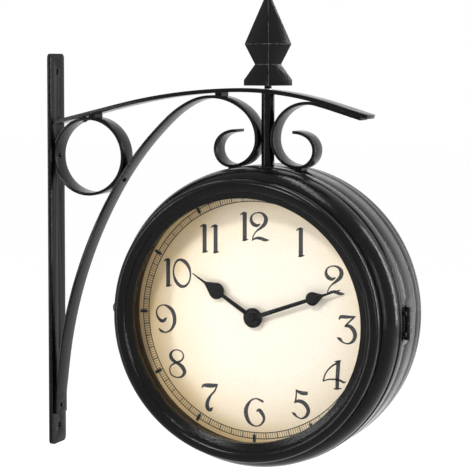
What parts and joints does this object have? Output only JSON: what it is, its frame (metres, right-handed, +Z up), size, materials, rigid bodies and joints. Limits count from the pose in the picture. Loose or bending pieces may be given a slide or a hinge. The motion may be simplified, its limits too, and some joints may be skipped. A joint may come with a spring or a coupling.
{
  "type": "double sided station clock",
  "caption": "Round double-faced wall clock with a hinged glazed front, hung under a scrolled flat-bar bracket with a spear finial.",
  "frame": {"origin": "back face of the wall plate, halfway between its two screw holes", "axes": "+X away from the wall, +Y from the front dial to the rear dial, +Z up"},
  "size_m": [0.3907, 0.144, 0.4605],
  "materials": {
    "black_paint": "satin",
    "black_gloss": "gloss",
    "ring_paint": "satin",
    "dial": "matte",
    "hands": "satin",
    "glass": "clear",
    "steel": "satin",
    "brass": "satin",
    "copper": "satin",
    "plastic": "matte",
    "battery": "gloss"
  },
  "bodies": {
    "bracket_and_case": {"arch_bar": "black_paint", "brace_bar": "black_paint", "bracket_rivets": "black_paint", "case_drum": "black_paint", "end_scroll": "black_paint", "finial": "black_paint", "hinge_case_leaf": "black_paint", "hinge_case_rivets": "black_paint", "hinge_pin": "steel", "post_tube": "black_paint", "rear_battery": "battery", "rear_battery_contacts": "steel", "rear_bezel": "black_gloss", "rear_bezel_screws": "steel", "rear_bushing_nut": "brass", "rear_dial": "dial", "rear_dial_ring": "ring_paint", "rear_dial_screws": "steel", "rear_drive_coil": "copper", "rear_glass": "glass", "rear_movement_case": "plastic", "rear_movement_cover": "plastic", "rear_shell": "black_paint", "rear_shell_screws": "steel", "ring_scroll": "black_paint", "spacer_blocks": "black_paint", "tie_nut": "steel", "tie_rod": "steel", "wall_plate": "black_paint"},
    "front_minute_work": {"front_minute_arbor": "brass", "front_minute_hand": "hands", "front_hand_nut": "hands"},
    "front_hour_work": {"front_hour_wheel": "brass", "front_hour_hand": "hands"},
    "front_motion_work": {"front_motion_wheel": "brass", "front_set_knob": "plastic"},
    "rear_minute_work": {"rear_minute_arbor": "brass", "rear_minute_hand": "hands", "rear_hand_nut": "hands"},
    "rear_hour_work": {"rear_hour_wheel": "brass", "rear_hour_hand": "hands"},
    "rear_motion_work": {"rear_motion_wheel": "brass", "rear_set_knob": "plastic"},
    "latch": {"latch_knob": "black_paint", "latch_hook": "steel"},
    "door": {"door_shell": "black_paint", "front_battery": "battery", "front_battery_contacts": "steel", "front_bezel": "black_gloss", "front_bezel_screws": "steel", "front_bushing_nut": "brass", "front_dial": "dial", "front_dial_ring": "ring_paint", "front_dial_screws": "steel", "front_drive_coil": "copper", "front_glass": "glass", "front_movement_case": "plastic", "front_movement_cover": "plastic", "hinge_door_leaf": "black_paint", "hinge_door_rivets": "black_paint"}
  },
  "joints": [
    {"name": "door_swing", "type": "hinge", "parent": "bracket_and_case", "child": "door", "pos_m": [0.3881, -0.01615, -0.054], "axis": [0, 0, 1], "range_deg": [0, 110]},
    {"name": "latch_turn", "type": "hinge", "parent": "door", "child": "latch", "pos_m": [0.0915, -0.023, -0.054], "axis": [-1, 0, 0], "range_deg": [0, 90]},
    {"name": "front_minute_turn", "type": "hinge", "parent": "door", "child": "front_minute_work", "pos_m": [0.239, -0.03, -0.054], "axis": [0, 1, 0], "continuous": true},
    {"name": "front_hour_turn", "type": "hinge", "parent": "door", "child": "front_hour_work", "pos_m": [0.239, -0.03, -0.054], "axis": [0, 1, 0], "continuous": true},
    {"name": "front_motion_turn", "type": "hinge", "parent": "door", "child": "front_motion_work", "pos_m": [0.239, -0.03, -0.044], "axis": [0, 1, 0], "continuous": true},
    {"name": "rear_minute_turn", "type": "hinge", "parent": "bracket_and_case", "child": "rear_minute_work", "pos_m": [0.239, 0.03, -0.054], "axis": [0, -1, 0], "continuous": true},
    {"name": "rear_hour_turn", "type": "hinge", "parent": "bracket_and_case", "child": "rear_hour_work", "pos_m": [0.239, 0.03, -0.054], "axis": [0, -1, 0], "continuous": true},
    {"name": "rear_motion_turn", "type": "hinge", "parent": "bracket_and_case", "child": "rear_motion_work", "pos_m": [0.239, 0.03, -0.044], "axis": [0, -1, 0], "continuous": true}
  ],
  "couplings": [
    {"joint": "front_hour_turn", "follows": "front_minute_turn", "ratio": 0.083333},
    {"joint": "front_motion_turn", "follows": "front_minute_turn", "ratio": -0.33333},
    {"joint": "rear_hour_turn", "follows": "rear_minute_turn", "ratio": 0.083333},
    {"joint": "rear_motion_turn", "follows": "rear_minute_turn", "ratio": -0.33333}
  ]
}
